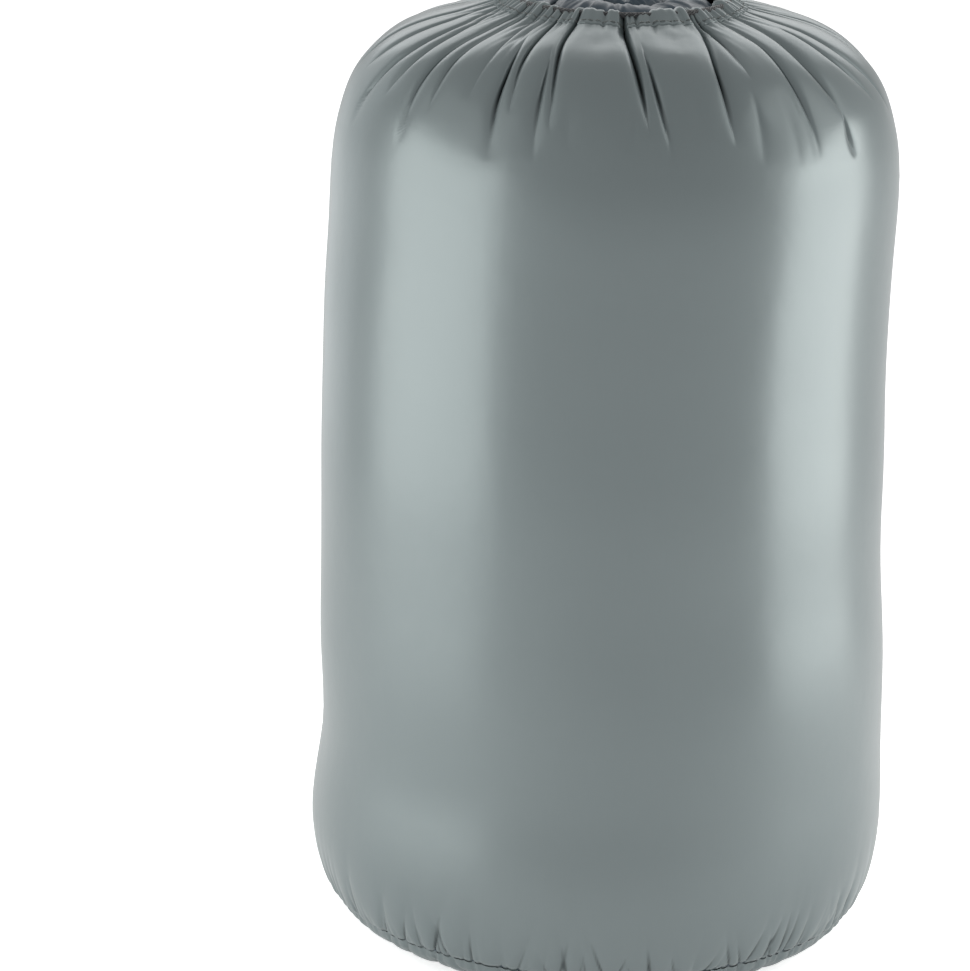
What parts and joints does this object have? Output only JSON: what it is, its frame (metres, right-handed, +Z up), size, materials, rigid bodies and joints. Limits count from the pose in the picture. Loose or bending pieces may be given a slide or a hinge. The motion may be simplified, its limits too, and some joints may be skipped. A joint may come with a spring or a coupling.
{
  "type": "camp quilt in a stuff sack",
  "caption": "Camp quilt with shell, batting and lining, folded, rolled and stuffed in a drawstring sack with a sprung cord lock.",
  "frame": {"origin": "middle of the sack's base, on the ground", "axes": "+Z up along the sack, +Y towards the side seam and the cord lock, +X to the right seen from the front"},
  "size_m": [0.244, 0.2451, 0.4036],
  "materials": {
    "sack_fabric": "satin",
    "sack_seam": "satin",
    "quilt_fabric": "satin",
    "quilt_lining": "satin",
    "batting": "matte",
    "cord": "matte",
    "black_plastic": "satin",
    "spring_steel": "satin"
  },
  "bodies": {
    "sack": {"sack_base": "sack_fabric", "sack_body": "sack_fabric", "side_seam": "sack_seam", "base_seam_allowance": "sack_seam", "drawcord_channel": "sack_fabric", "drawcord": "cord", "cord_end": "black_plastic", "quilt_shell": "quilt_fabric", "quilt_insulation": "batting", "quilt_lining": "quilt_lining", "quilt_head_binding": "quilt_fabric", "quilt_foot_binding": "quilt_fabric"},
    "cord_lock": {"cord_lock_barrel": "black_plastic", "cord_lock_spring": "spring_steel"},
    "plunger": {"cord_lock_plunger": "black_plastic"}
  },
  "joints": [
    {"name": "lock_slide", "type": "slide", "parent": "sack", "child": "cord_lock", "axis": [0, 0.9662, -0.2576], "range_m": [0, 0.01]},
    {"name": "plunger_press", "type": "slide", "parent": "cord_lock", "child": "plunger", "axis": [-1, 0, 0], "range_m": [0, 0.0035], "stiffness_N_per_m": 600, "springref_m": -0.004, "deforming": ["cord_lock_spring"]}
  ]
}
